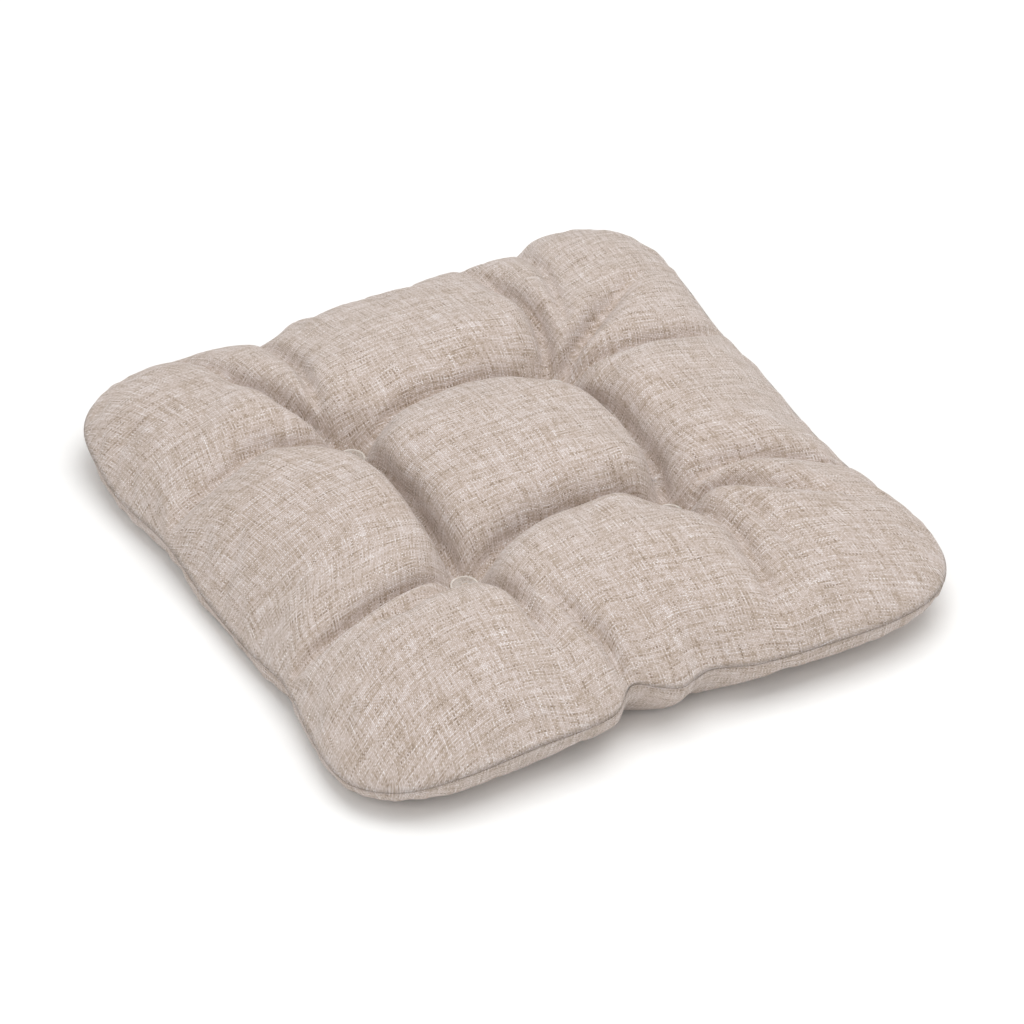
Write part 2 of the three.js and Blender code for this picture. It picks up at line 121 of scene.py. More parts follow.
# Folds in the top panel (mm from the pad's middle): the line they follow, their depth and
# their half width at each end.
TOP_FOLDS = (
    (((-67, 67), (-66, 20), (-67, -20), (-67, -67)), (28, 28), (7, 7)),
    (((-67, -67), (-35, -58), (0, -53), (38, -55), (67, -67)), (24, 24), (9, 9)),
    (((-67, 67), (-30, 75), (5, 78), (40, 75), (67, 67)), (17, 20), (13, 11)),
    (((67, 67), (76, 35), (79, 0), (76, -35), (67, -67)), (26, 27), (10, 10)),
    (((-67, 67), (-86, 110), (-98, 150), (-108, 196)), (23, 9), (7, 8)),
    (((-73, 92), (-62, 140), (-61, 200)), (8, 15), (8, 7)),
    (((-67, 67), (-115, 82), (-188, 73)), (19, 7), (10, 13)),
    (((-67, -67), (-110, -71), (-150, -74), (-192, -78)), (23, 12), (6, 8)),
    (((-80, -80), (-116, -91), (-150, -92)), (11, 3), (6, 7)),
    (((-67, -67), (-58, -110), (-61, -156)), (23, 4), (6, 7)),
    (((-44, -120), (-31, -165), (-29, -207)), (4, 15), (7, 7)),
    (((67, 67), (80, 110), (78, 160), (75, 204)), (19, 8), (8, 8)),
    (((92, 98), (108, 150), (116, 204)), (8, 12), (8, 7)),
    (((67, 67), (95, 82), (125, 100), (152, 118)), (22, 4), (7, 7)),
    (((67, 67), (110, 60), (165, 64), (197, 80)), (16, 11), (9, 8)),
    (((67, -67), (105, -85), (158, -121)), (22, 3), (7, 8)),
    (((67, -67), (115, -62), (172, -76), (197, -69)), (12, 12), (11, 9)),
    (((67, -67), (80, -118), (72, -176)), (17, 4), (10, 11)),
    (((96, -105), (101, -165)), (8, 3), (8, 8)),
)
UNDER_FOLD_DEPTH = 20
UNDER_FOLD_END = 7  # its depth where it runs out at the seam
UNDER_FOLD_WIDTHS = (14, 16)
BETWEEN_TUFTS = (
    ((-67, -67), (-67, 67)), ((67, -67), (67, 67)), ((-67, -67), (67, -67)), ((-67, 67), (67, 67)),
)
OUT_TO_THE_SEAM = (
    ((-67, 67), (-66, 200)), ((67, 67), (70, 200)), ((-67, -67), (-64, -200)), ((67, -67), (66, -200)),
    ((-67, 67), (-190, 70)), ((-67, -67), (-190, -70)), ((67, 67), (190, 72)), ((67, -67), (190, -68)),
)
UNDER_FOLDS = tuple(
    (line, (UNDER_FOLD_DEPTH, UNDER_FOLD_DEPTH), UNDER_FOLD_WIDTHS) for line in BETWEEN_TUFTS
) + tuple(
    (line, (UNDER_FOLD_DEPTH, UNDER_FOLD_END), UNDER_FOLD_WIDTHS) for line in OUT_TO_THE_SEAM
)
FOLD_FALL = 1.25  # how sharply a fold's sides fall: 1 is a V, 2 a bell
FOLD_BLEND = 5  # higher keeps folds that meet more apart


def superellipse(a, b):
    """How far out a place is, from 0 in the middle to 1 on the panel's rounded outline."""
    return (np.abs(a) ** CORNER_EXPONENT + np.abs(b) ** CORNER_EXPONENT) ** (1 / CORNER_EXPONENT)


def round_the_seam(turn, knots, values):
    """Smooth closed curve through the values, at turn, where each side is 1 long and 4 is once round."""
    knots, values = np.asarray(knots), np.asarray(values, float)
    slope = (np.roll(values, -1) - np.roll(values, 1)) / (
        np.mod(np.roll(knots, -1) - np.roll(knots, 1), 4)
    )
    turn = np.mod(turn - knots[0], 4) + knots[0]
    k = np.searchsorted(knots, turn, side="right") - 1
    k = np.clip(k, 0, len(knots) - 1)
    following = (k + 1) % len(knots)
    span = np.mod(knots[following] - knots[k], 4)
    t = (turn - knots[k]) / span
    return (
        (2 * t**3 - 3 * t**2 + 1) * values[k]
        + (t**3 - 2 * t**2 + t) * span * slope[k]
        + (3 * t**2 - 2 * t**3) * values[following]
        + (t**3 - t**2) * span * slope[following]
    )


def fold_depth(x, y, folds):
    """How deep the folds press the fabric in, at plan points in metres. Where folds meet, the
    deepest counts most."""
    total = np.zeros_like(x)
    for line, depth, width in folds:
        line = np.asarray(line, float) * MM
        lengths = np.hypot(*np.diff(line, axis=0).T)
        start = np.concatenate([[0], np.cumsum(lengths)]) / lengths.sum()
        best = np.full(x.shape, np.inf)
        share = np.zeros_like(x)
        for k, (a, b) in enumerate(zip(line[:-1], line[1:])):
            along = ((x - a[0]) * (b[0] - a[0]) + (y - a[1]) * (b[1] - a[1])) / lengths[k] ** 2
            along = np.clip(along, 0, 1)
            off = np.hypot(x - a[0] - along * (b[0] - a[0]), y - a[1] - along * (b[1] - a[1]))
            nearer = off < best
            best = np.where(nearer, off, best)
            share = np.where(nearer, start[k] + along * (start[k + 1] - start[k]), share)
        deep = (depth[0] + (depth[1] - depth[0]) * share) * MM
        wide = (width[0] + (width[1] - width[0]) * share) * MM
        total += (deep * np.exp(-((best / wide) ** FOLD_FALL))) ** FOLD_BLEND
    return total ** (1 / FOLD_BLEND)


def smooth_noise(rng, grain):
    """Gentle unevenness over the panel's grid, in standard deviations."""
    field = np.fft.rfft2(rng.standard_normal((CELLS + 1, CELLS + 1)))
    fy = np.fft.fftfreq(CELLS + 1)[:, None]
    fx = np.fft.rfftfreq(CELLS + 1)[None, :]
    field *= np.exp(-3 * (np.hypot(fx, fy) * grain) ** 2)
    field = np.fft.irfft2(field, s=(CELLS + 1, CELLS + 1))
    return field / field.std()


def square_rings(cells):
    """A grid of u and v from -1 to 1, how far out each point's square ring is (0 to 1), where its ray
    from the middle meets the seam, and that place as one turn: 0 to 1 the front, 1 to 2 the right..."""
    steps = np.linspace(-1, 1, cells + 1)
    u, v = np.meshgrid(steps, steps)
    ring = np.maximum(np.abs(u), np.abs(v))
    safe = np.where(ring == 0, 1, ring)
    a, b = u / safe, v / safe
    turn = np.select(
        [(b <= -1 + 1e-9), (a >= 1 - 1e-9), (b >= 1 - 1e-9)],
        [(a + 1) / 2, 1 + (b + 1) / 2, 2 + (1 - a) / 2],
        3 + (1 - b) / 2,
    )
    return u, v, ring, a, b, turn


def sewn_form():
    """The two panels sewn together and loosely filled: its points, the grid of each panel's points,
    and the points that the seam and the tufts hold."""
    u, v, ring, a, b, turn = square_rings(CELLS)
    rounding = 1 + (ring / np.where(ring == 0, 1, superellipse(u, v)) - 1) * ring**3
    half_x, half_y = HALF_WIDTH - SEAM_INSET, HALF_DEPTH - SEAM_INSET
    x, y = half_x * u * rounding, half_y * v * rounding
    reach = np.clip(superellipse(x / half_x, y / half_y), 0, 1)
    knots, pulls, heights = [], [], []
    for n, line in enumerate(SEAM_LINE):
        for place, pull, height in line:
            knots.append(n + (place + 1) / 2)
            pulls.append(pull * MM)
            heights.append(height * MM)
    pull = round_the_seam(turn, knots, pulls) * ring**4
    seam = round_the_seam(turn, knots, heights)
    middle_height = np.mean(heights)
    seam = middle_height + (seam - middle_height) * ring**4
    inward_x = np.sign(a) * np.abs(a) ** 10
    inward_y = np.sign(b) * np.abs(b) ** 10
    inward = np.maximum(np.hypot(inward_x, inward_y), 1)
    x = x - pull * inward_x / inward
    y = y - pull * inward_y / inward

    def raised(fullness):
        return np.clip(1 - reach ** fullness[0], 0, 1) ** fullness[1]

    rng = np.random.default_rng(7)
    crown, belly = raised(TOP_FULLNESS), raised(UNDERSIDE_FULLNESS)
    top = seam + crown * PILLOW_RISE - np.minimum(crown * 1.4, 1) * fold_depth(x, y, TOP_FOLDS)
    under = seam - belly * PILLOW_DROP + np.minimum(belly * 1.2, 1) * fold_depth(x, y, UNDER_FOLDS)
    top = top + TOP_UNEVENNESS * smooth_noise(rng, UNEVENNESS_GRAIN) * crown
    under = under + UNDERSIDE_UNEVENNESS * smooth_noise(rng, UNEVENNESS_GRAIN) * belly
    under = np.maximum(under, SEAT_CLEARANCE)
    for tuft, (cx, cy, high, low) in TUFT_PLACES.items():
        off = np.clip(np.hypot(x - cx, y - cy) - PINCH_RADIUS, 0, None)
        pinch = np.exp(-off / PINCH_SPREAD[tuft])
        top = top + (high - FABRIC_THICKNESS / 2 - top) * pinch
        under = under + (low + FABRIC_THICKNESS / 2 - under) * pinch

    grid = np.arange((CELLS + 1) ** 2).reshape(CELLS + 1, CELLS + 1)
    under_grid = grid.copy()
    inner = (CELLS - 1) ** 2
    under_grid[1:CELLS, 1:CELLS] = (CELLS + 1) ** 2 + np.arange(inner).reshape(CELLS - 1, CELLS - 1)
    on_seam = ring > 1 - 1e-9
    top[on_seam] = seam[on_seam]
    points = np.zeros(((CELLS + 1) ** 2 + inner, 3))
    points[grid.ravel()] = np.stack([x, y, top], -1).reshape(-1, 3)
    points[under_grid[1:-1, 1:-1].ravel()] = np.stack([x, y, under], -1)[1:-1, 1:-1].reshape(-1, 3)
    held = set(grid[on_seam].tolist())
    for cx, cy, high, low in TUFT_PLACES.values():
        for ids in (grid, under_grid):
            near = np.hypot(points[ids, 0] - cx, points[ids, 1] - cy) < PINCH_RADIUS
            held.update(ids[near].tolist())
    return points, grid, under_grid, sorted(held)


def grid_faces(grid, upwards):
    """The squares between a grid's points, facing up or down."""
    corners = (grid[:-1, :-1], grid[:-1, 1:], grid[1:, 1:], grid[1:, :-1])
    if not upwards:
        corners = corners[::-1]
    return np.stack([c.ravel() for c in corners], -1).tolist()


def add_mesh(name, points, faces):
    """A new piece with these points and faces."""
    mesh = bpy.data.meshes.new(name)
    mesh.from_pydata(np.asarray(points).tolist(), [], faces)
    mesh.update()
    piece = bpy.data.objects.new(name, mesh)
    bpy.context.collection.objects.link(piece)
    return piece


def choose(piece):
    """Makes this the one selected piece."""
    bpy.ops.object.select_all(action="DESELECT")
    piece.select_set(True)
    bpy.context.view_layer.objects.active = piece


def filled(points, faces, held):
    """The sewn form swollen by its filling: cloth under pressure, held at the seam and the tufts."""
    cloth_piece = add_mesh("swelling_cover", points, faces)
    choose(cloth_piece)
    pins = cloth_piece.vertex_groups.new(name="held")
    pins.add(held, 1.0, "REPLACE")
    cloth = cloth_piece.modifiers.new("Filling", "CLOTH")
    s = cloth.settings
    s.quality, s.mass, s.air_damping = 6, 0.15, 1.0
    s.tension_stiffness, s.compression_stiffness, s.shear_stiffness = 15, 10, 5
    s.bending_stiffness = 0.6
    s.tension_damping = s.compression_damping = s.shear_damping = 5
    s.bending_damping = 0.5
    s.use_pressure, s.uniform_pressure_force = True, SWELL_PRESSURE
    s.shrink_min = SPARE_FABRIC
    s.vertex_group_mass, s.pin_stiffness = "held", 1
    s.effector_weights.gravity = 0
    cloth.collision_settings.use_collision = True
    cloth.collision_settings.distance_min = 0.001
    cloth.collision_settings.use_self_collision = False
    bpy.ops.mesh.primitive_plane_add(size=2, location=(0, 0, -0.001))
    seat = bpy.context.object
    seat.modifiers.new("Seat", "COLLISION")
    seat.collision.thickness_outer = 0.001
    seat.collision.cloth_friction = 2
    cloth.point_cache.frame_start, cloth.point_cache.frame_end = 1, SWELL_FRAMES
    for step in range(1, SWELL_FRAMES + 1):
        bpy.context.scene.frame_set(step)
    shape = cloth_piece.evaluated_get(bpy.context.evaluated_depsgraph_get()).to_mesh()
    swollen = np.empty(len(shape.vertices) * 3)
    shape.vertices.foreach_get("co", swollen)
    swollen = swollen.reshape(-1, 3).copy()
    bpy.context.scene.frame_set(1)
    for used in (cloth_piece, seat):
        bpy.data.objects.remove(used, do_unlink=True)
    return swollen


points, top_grid, under_grid, held = sewn_form()
faces = grid_faces(top_grid, True) + grid_faces(under_grid, False)
points = filled(points, faces, held)


# ---------------------------------------------------------------- the sewn panels' fine shape
def halved_rows(rows):
    """Rows of points with a smooth row added between each two."""
    before = np.concatenate([[2 * rows[0] - rows[1]], rows[:-1]])
    after = np.concatenate([rows[1:], [2 * rows[-1] - rows[-2]]])
    after_next = np.concatenate([after[1:], [2 * after[-1] - after[-2]]])
    between = (9 * (rows + after) - before - after_next) / 16
    finer = np.empty((2 * len(rows) - 1,) + rows.shape[1:])
    finer[::2] = rows
    finer[1::2] = between[:-1]
    return finer


def refined(face):
    """A panel's points with the spacing halved both ways."""
    return halved_rows(halved_rows(face).swapaxes(0, 1)).swapaxes(0, 1)


def face_normals(face, side):
    """Outward directions at a panel's points."""
    along_y, along_x = np.gradient(face, axis=(0, 1))
    normal = np.cross(along_x, along_y) * side
    return normal / np.linalg.norm(normal, axis=2)[:, :, None]


def around(grid):
    """The points of a panel's edge in order, once round the seam."""
    return np.concatenate([grid[0, :-1], grid[:-1, -1], grid[-1, :0:-1], grid[:0:-1, 0]])


def ripple(rng, turn, waves, count):
    """Uneven waves along the seam, of about unit height. turn runs from 0 to 4 once round."""
    total = np.zeros_like(turn)
    for _ in range(count):
        number = rng.integers(*waves)
        total += np.sin(turn * math.pi / 2 * number + rng.uniform(0, 2 * math.pi))
    return total / math.sqrt(count / 2)


def worked(face, side):
    """The fine shape that sewing and tufting give the fabric: folds drawn sharp at their bottoms, and puckers
    that run in from the seam."""
    u, v, ring, a, b, turn = square_rings(len(face) - 1)
    from_seam = (1 - ring) * HALF_WIDTH
    rng = np.random.default_rng(11 if side > 0 else 12)
    pucker = ripple(rng, turn, *SEAM_PUCKERS) * np.exp(-from_seam / PUCKER_REACH)
    pucker += 0.8 * ripple(rng, turn, *BROAD_PUCKERS) * np.exp(-from_seam / (2.2 * PUCKER_REACH))
    pucker *= PUCKER_HEIGHT * np.clip(from_seam / PUCKER_START, 0, 1)
    folds = TOP_FOLDS if side > 0 else UNDER_FOLDS
    narrow = tuple((line, depth, (CREASE_LINE, CREASE_LINE)) for line, depth, width in folds)
    crease = fold_depth(face[:, :, 0], face[:, :, 1], narrow) * CREASE_SHARE
    crease *= np.clip(from_seam / CREASE_FADE, 0, 1)
    for cx, cy, high, low in TUFT_PLACES.values():
        off = np.hypot(face[:, :, 0] - cx, face[:, :, 1] - cy)
        crease *= np.clip((off - PINCH_RADIUS) / TUFT_FADE, 0, 1)
    normal = face_normals(face, side)
    moved = face + normal * (pucker - crease)[:, :, None]
    moved[:, :, 2] = np.maximum(moved[:, :, 2], PANEL_CLEARANCE)
    return moved


top_face = worked(refined(points[top_grid]), 1)
under_face = worked(refined(points[under_grid]), -1)
FINE = len(top_face) - 1  # squares along each side of a finished panel

seam = around(top_face)
seam_along = np.roll(seam, -1, axis=0) - np.roll(seam, 1, axis=0)
seam_along[:, 2] = 0
seam_along /= np.linalg.norm(seam_along, axis=1)[:, None]
seam_inward = np.stack([-seam_along[:, 1], seam_along[:, 0], np.zeros(len(seam))], -1)


def cut_places(face):
    """Where a panel's points lie on its flat cut: distances along the threads from the middle lines,
    evened out between neighbouring threads."""
    steps_x = np.linalg.norm(np.diff(face, axis=1), axis=2)
    steps_y = np.linalg.norm(np.diff(face, axis=0), axis=2)
    x = np.concatenate([np.zeros((FINE + 1, 1)), np.cumsum(steps_x, axis=1)], axis=1)
    y = np.concatenate([np.zeros((1, FINE + 1)), np.cumsum(steps_y, axis=0)], axis=0)
    x -= x[:, FINE // 2][:, None]
    y -= y[FINE // 2][None, :]
    for _ in range(EVENING_PASSES):
        x[1:-1] = (x[:-2] + 2 * x[1:-1] + x[2:]) / 4
        y[:, 1:-1] = (y[:, :-2] + 2 * y[:, 1:-1] + y[:, 2:]) / 4
    return np.stack([x, y], -1)


def smooth_faces(piece):
    choose(piece)
    bpy.ops.object.shade_smooth()


def apply_modifiers(piece):
    choose(piece)
    for modifier in list(piece.modifiers):
        bpy.ops.object.modifier_apply(modifier=modifier.name)


def cover_panel(name, face, side):
    """One cover panel: its face, and its edge turned in at the seam. side is 1 for the top and -1
    for the bottom."""
    face_points = face.reshape(-1, 3).copy()
    cut = cut_places(face).reshape(-1, 2)
    size = FINE + 1
    local = np.arange(size * size).reshape(size, size)
    edge = around(local)
    lift = np.array([0, 0, side * SEAM_GAP / 2])
    face_points[edge] += lift
    rows, cuts = [face_points], [cut]
    out = cut[edge] / np.linalg.norm(cut[edge], axis=1)[:, None]
    faces = grid_faces(local, side > 0)
    previous = edge
    for step, inset in enumerate((0.35, 1.0), 1):
        turned = seam + lift + seam_inward * SEAM_ALLOWANCE * inset
        ids = size * size + (step - 1) * len(edge) + np.arange(len(edge))
        rows.append(turned)
        cuts.append(cut[edge] + out * SEAM_ALLOWANCE * inset)
        quads = np.stack([previous, np.roll(previous, -1), np.roll(ids, -1), ids], -1)
        faces += (quads[:, ::-1] if side > 0 else quads).tolist()
        previous = ids
    panel = add_mesh(name, np.concatenate(rows), faces)
    where = np.concatenate(cuts)
    layer = panel.data.uv_layers.new(name="cut")
    corner_points = np.empty(len(panel.data.loops), dtype=np.int64)
    panel.data.loops.foreach_get("vertex_index", corner_points)
    layer.data.foreach_set("uv", where[corner_points].astype(np.float32).ravel())
    thick = panel.modifiers.new("Fabric", "SOLIDIFY")
    thick.thickness = FABRIC_THICKNESS
    thick.offset = -1
    apply_modifiers(panel)
    smooth_faces(panel)
    return panel


def filling_form():
    """The loose filling: the panels' form taken in under the fabric, and further in where the fabric dips,
    with a groove round it for the turned-in edges."""
    inner = points.copy()
    for grid, face, side in ((top_grid, top_face, 1), (under_grid, under_face, -1)):
        inner[grid] = (face - face_normals(face, side) * (FABRIC_THICKNESS + FILLING_INSET))[::2, ::2]
    inner[around(top_grid)] = seam[::2] + seam_inward[::2] * (SEAM_ALLOWANCE + GROOVE_CLEARANCE)
    for grid, side in ((top_grid, 1), (under_grid, -1)):
        height = inner[grid][:, :, 2] * side
        lowest = height.copy()
        for row in (-1, 0, 1):
            for column in (-1, 0, 1):
                lowest = np.minimum(lowest, np.roll(height, (row, column), axis=(0, 1)))
        middle = grid[2:-2, 2:-2]
        inner[middle, 2] = np.minimum(height, lowest + DIP_RISE)[2:-2, 2:-2] * side
    inner[:, 2] = np.maximum(inner[:, 2], FABRIC_THICKNESS + FILLING_CLEARANCE)
    filling = add_mesh("fibre_filling_form", inner, faces)
    smooth_faces(filling)
    return filling


def thread_piece(name, path, radius, closed, plies=2, lay=None, sides=8):
    """A plied thread along a path: a round tube whose surface is drawn in where its plies lie together."""
    path = np.asarray(path, float)
    count = len(path)
    if closed:
        along = np.roll(path, -1, axis=0) - np.roll(path, 1, axis=0)
    else:
        along = np.gradient(path, axis=0)
    along /= np.linalg.norm(along, axis=1)[:, None]
    gaps = np.linalg.norm(np.diff(path, axis=0), axis=1)
    distance = np.concatenate([[0], np.cumsum(gaps)])
    across = np.cross(along, [0.0, 0.0, 1.0])
    weak = np.linalg.norm(across, axis=1) < 0.2
    across[weak] = np.cross(along[weak], [0.0, 1.0, 0.0])
    for n in range(1, count):
        if weak[n] or weak[n - 1] or np.dot(across[n], across[n - 1]) < 0:
            across[n] = across[n - 1] - along[n] * np.dot(across[n - 1], along[n])
    across /= np.linalg.norm(across, axis=1)[:, None]
    above = np.cross(across, along)
    lay = lay or 6 * radius
    tube = []
    for n in range(count):
        twist = 2 * math.pi * distance[n] / (lay * plies)
        for k in range(sides):
            angle = 2 * math.pi * k / sides
            bulge = radius * (0.86 + 0.14 * abs(math.cos(plies * (angle - twist) / 2)))
            tube.append(path[n] + bulge * (math.cos(angle) * across[n] + math.sin(angle) * above[n]))
    rows = count if closed else count - 1
    quads = []
    for n in range(rows):
        following = (n + 1) % count
        for k in range(sides):
            turn = (k + 1) % sides
            quads.append([n * sides + k, n * sides + turn, following * sides + turn, following * sides + k])
    if not closed:
        quads.append(list(range(sides))[::-1])
        quads.append([(count - 1) * sides + k for k in range(sides)])
    thread = add_mesh(name, tube, quads)
    facing = bmesh.new()
    facing.from_mesh(thread.data)
    bmesh.ops.recalc_face_normals(facing, faces=facing.faces)
    facing.to_mesh(thread.data)
    facing.free()
    smooth_faces(thread)
    return thread


def resampled(path, step):
    """The same line, with points this far apart."""
    path = np.asarray(path, float)
    distance = np.concatenate([[0], np.cumsum(np.linalg.norm(np.diff(path, axis=0), axis=1))])
    places = np.linspace(0, distance[-1], max(2, round(distance[-1] / step) + 1))
    return np.stack([np.interp(places, distance, path[:, k]) for k in range(3)], -1)


STITCH_LENGTH = 3.0 * MM
LADDER_STITCH = 6.0 * MM
MACHINE_STEP = 0.8 * MM  # between the points of the machine-sewn thread's path
HAND_STEP = 1.0 * MM
THREAD_INSET = 0.5 * MM  # of the thread inside the panels' edges
STITCH_RISE = 0.12 * MM
LADDER_RISE = 0.45 * MM
SEAM_THREAD_RADIUS = 0.22 * MM
HAND_THREAD_RADIUS = 0.32 * MM
TWINE_RADIUS = 0.6 * MM
KNOT_TWINE_RADIUS = 0.55 * MM  # drawn tight

# Where the closing seam lies, from its thread in the frame.
opening_low, opening_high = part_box("closing_seam_thread")
OPENING = (opening_low[0], opening_high[0])


def seam_runs():
    """The seam's line in two runs, just inside the panels' edges: machine-sewn, and closed by hand."""
    line = seam + seam_inward * THREAD_INSET
    back = (line[:, 1] > HALF_DEPTH / 2) & (line[:, 0] > OPENING[0]) & (line[:, 0] < OPENING[1])
    last = np.flatnonzero(back & ~np.roll(back, -1))[0]
    order = np.roll(np.arange(len(line)), -(last + 1))
    opened = back[order]
    machine = resampled(line[order][~opened], MACHINE_STEP)
    hand = resampled(line[order][opened], HAND_STEP)
    return machine, hand


def edge_stitches(run):
    """Lockstitch seen in the seam: the thread rises and dips once a stitch."""
    distance = np.arange(len(run)) * MACHINE_STEP
    run = run.copy()
    run[:, 2] += STITCH_RISE * np.cos(2 * math.pi * distance / STITCH_LENGTH)
    return thread_piece("edge_seam_stitches", run, SEAM_THREAD_RADIUS, False, sides=5)


def closing_stitches(run):
    """Ladder stitch: short rungs across the seam, with the thread hidden in the folds between them."""
    distance = np.arange(len(run)) * HAND_STEP
    along = np.gradient(run, axis=0)
    along /= np.linalg.norm(along, axis=1)[:, None]
    outward = np.cross(along, [0.0, 0.0, 1.0])
    phase = 2 * math.pi * distance / LADDER_STITCH
    depth = (-0.3 - 0.5 * np.cos(2 * phase)) * MM
    rise = LADDER_RISE * np.sin(phase)
    path = run + outward * depth[:, None] + np.array([0.0, 0.0, 1.0]) * rise[:, None]
    path = resampled(path, 0.6 * MM)
    return thread_piece("closing_ladder_stitches", path, HAND_THREAD_RADIUS, False, sides=6)


BUTTON_RADIUS = 8.25 * MM
BUTTON_BASE = 1.8 * MM
BUTTON_RIM = 1.0 * MM  # height of the rim over the middle
RIM_WIDTH = 1.3 * MM
BUTTON_DISH = 1.6 * MM  # slope between the rim and the flat middle
BUTTON_ROUNDING = 0.45 * MM
HOLE_HALF_SPACING = 2.3 * MM
HOLE_RADIUS = 1.05 * MM
TWINE_ARCH = 1.3 * MM  # of the twine over the bridge between the holes


def choose_faces(piece, wanted):
    """Selects, in edit mode, the faces whose middle and normal pass the test."""
    bpy.ops.mesh.select_all(action="DESELECT")
    mesh = bmesh.from_edit_mesh(piece.data)
    for face in mesh.faces:
        face.select = wanted(face.calc_center_median(), face.normal)
    mesh.select_flush_mode()
    bmesh.update_edit_mesh(piece.data)


def clear_button():
    """A moulded two-hole button: a round base with a raised rim round its dished face."""
    bpy.ops.object.select_all(action="DESELECT")
    bpy.ops.mesh.primitive_cylinder_add(
        vertices=48, radius=BUTTON_RADIUS, depth=BUTTON_BASE + BUTTON_RIM,
        location=(0, 0, (BUTTON_BASE + BUTTON_RIM) / 2),
    )
    button = bpy.context.object
    choose(button)
    bpy.ops.object.transform_apply(location=True, rotation=True, scale=True)
    bpy.ops.object.mode_set(mode="EDIT")
    bpy.ops.mesh.select_mode(type="FACE")
    choose_faces(button, lambda middle, normal: normal.z > 0.9)
    bpy.ops.mesh.inset(thickness=RIM_WIDTH)
    bpy.ops.mesh.extrude_region_move(TRANSFORM_OT_translate={"value": (0, 0, -BUTTON_RIM * 0.6)})
    bpy.ops.mesh.inset(thickness=BUTTON_DISH)
    bpy.ops.transform.translate(value=(0, 0, -BUTTON_RIM * 0.4))
    bpy.ops.object.mode_set(mode="OBJECT")
    round_over = button.modifiers.new("Rounded", "BEVEL")
    round_over.width = BUTTON_ROUNDING
    round_over.segments = 4
    round_over.limit_method = "ANGLE"
    round_over.angle_limit = math.radians(40)
    apply_modifiers(button)
    for side in (-1, 1):
        bpy.ops.object.select_all(action="DESELECT")
        bpy.ops.mesh.primitive_cylinder_add(
            vertices=20, radius=HOLE_RADIUS, depth=8 * MM, location=(side * HOLE_HALF_SPACING, 0, 0)
        )
        drill = bpy.context.object
        hole = button.modifiers.new("Hole", "BOOLEAN")
        hole.operation = "DIFFERENCE"
        hole.object = drill
        hole.solver = "EXACT"
        apply_modifiers(button)
        bpy.data.objects.remove(drill, do_unlink=True)
    choose(button)
    bpy.ops.object.shade_smooth_by_angle(angle=math.radians(35))
    return button


def placed_copy(model, name, move, turned_over=False):
    """A copy with its own mesh, with its place in its mesh."""
    copy = model.copy()
    copy.data = model.data.copy()
    copy.name = copy.data.name = name
    bpy.context.collection.objects.link(copy)
    turn = Matrix.Rotation(math.pi, 4, "X") if turned_over else Matrix.Identity(4)
    copy.data.transform(Matrix.Translation(move) @ turn)
    return copy


def twine_path(x, y, high, low):
    """Once round a tuft: over the top button's bridge, down through one hole, under the lower button
    and up through the other."""
    top, under = high + BUTTON_BASE, low - BUTTON_BASE
    path = []
    for n in range(13):
        angle = math.pi * n / 12
        path.append((x - HOLE_HALF_SPACING * math.cos(angle), y, top + TWINE_ARCH * math.sin(angle)))
    for n in range(1, 10):
        path.append((x + HOLE_HALF_SPACING, y, top + (under - top) * n / 10))
    for n in range(13):
        angle = math.pi * n / 12
        path.append((x + HOLE_HALF_SPACING * math.cos(angle), y, under - TWINE_ARCH * math.sin(angle)))
    for n in range(1, 10):
        path.append((x - HOLE_HALF_SPACING, y, under + (top - under) * n / 10))
    return path


def twine_knot(x, y, low):
    """The half-hitch that ties the loop off under the lower button: a tight turn and a half of twine."""
    path = []
    for n in range(37):
        angle = 3 * math.pi * n / 36
        spread = 0.9 * MM + 0.25 * MM * math.sin(2 * angle)
        path.append((
            x + spread * math.cos(angle), y + spread * math.sin(angle),
            low - BUTTON_BASE - 1.9 * MM - 0.9 * MM * (n / 36) + 0.3 * MM * math.sin(3 * angle),
        ))
    return path


def joined(name, first, second):
    """Two parts of one piece of twine as one mesh."""
    bpy.ops.object.select_all(action="DESELECT")
    second.select_set(True)
    first.select_set(True)
    bpy.context.view_layer.objects.active = first
    bpy.ops.object.join()
    first.name = first.data.name = name
    return first


top_cover = cover_panel("top_cover_cloth", top_face, 1)
bottom_cover = cover_panel("bottom_cover_cloth", under_face, -1)
filling = filling_form()
machine_run, hand_run = seam_runs()
edge_thread = edge_stitches(machine_run)
closing_thread = closing_stitches(hand_run)
button_model = clear_button()
top_buttons, bottom_buttons, twines = {}, {}, {}
for tuft, (cx, cy, high, low) in TUFT_PLACES.items():
    top_buttons[tuft] = placed_copy(button_model, "clear_button_top_" + tuft, (cx, cy, high))
    bottom_buttons[tuft] = placed_copy(
        button_model, "clear_button_bottom_" + tuft, (cx, cy, low), turned_over=True
    )
    twines[tuft] = joined(
        "twine_loop_" + tuft,
        thread_piece("twine_loop_" + tuft, twine_path(cx, cy, high, low), TWINE_RADIUS, True, sides=10),
        thread_piece("twine_knot_" + tuft, twine_knot(cx, cy, low), KNOT_TWINE_RADIUS, False, sides=10),
    )
bpy.data.objects.remove(button_model, do_unlink=True)


# ---------------------------------------------------------------- materials
def linear(hex_colour):
    """sRGB hex to a linear colour with alpha."""
    parts = [int(hex_colour[k : k + 2], 16) / 255 for k in (1, 3, 5)]
    return [p / 12.92 if p <= 0.04045 else ((p + 0.055) / 1.055) ** 2.4 for p in parts] + [1.0]


